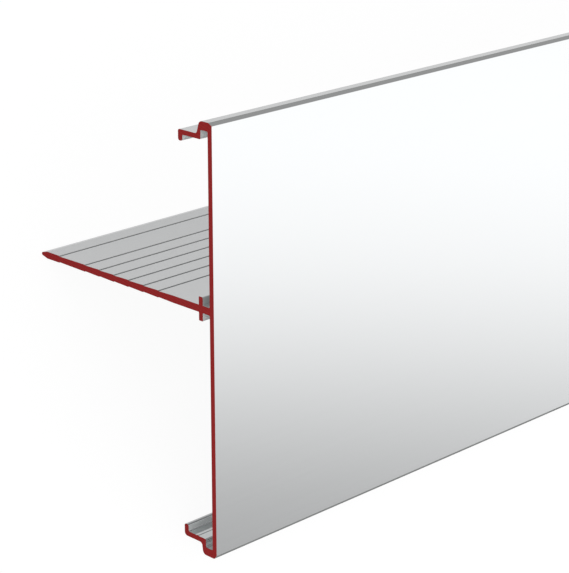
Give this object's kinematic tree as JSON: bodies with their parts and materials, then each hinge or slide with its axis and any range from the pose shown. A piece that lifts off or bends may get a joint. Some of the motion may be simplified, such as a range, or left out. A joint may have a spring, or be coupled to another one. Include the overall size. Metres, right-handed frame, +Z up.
{
  "type": "roof verge trim",
  "caption": "Extruded aluminium flat roof verge trim: tall plain fascia, barbed roof flange and hooked top and bottom edges, 2.5 m stock length.",
  "frame": {"origin": "centre of the piece over its length and depth, at floor level, with the piece lying unheld on the nose of its flange and the lip of its lower hook", "axes": "+X along the stock length, away from the red sawn end; +Z up; the roof flange runs down towards +Y and the outer face looks up and towards -Y"},
  "size_m": [2.5, 0.0984, 0.0852],
  "materials": {
    "aluminium": "satin mill finish"
  },
  "bodies": {
    "root": {"verge_trim": "aluminium"}
  },
  "joints": []
}
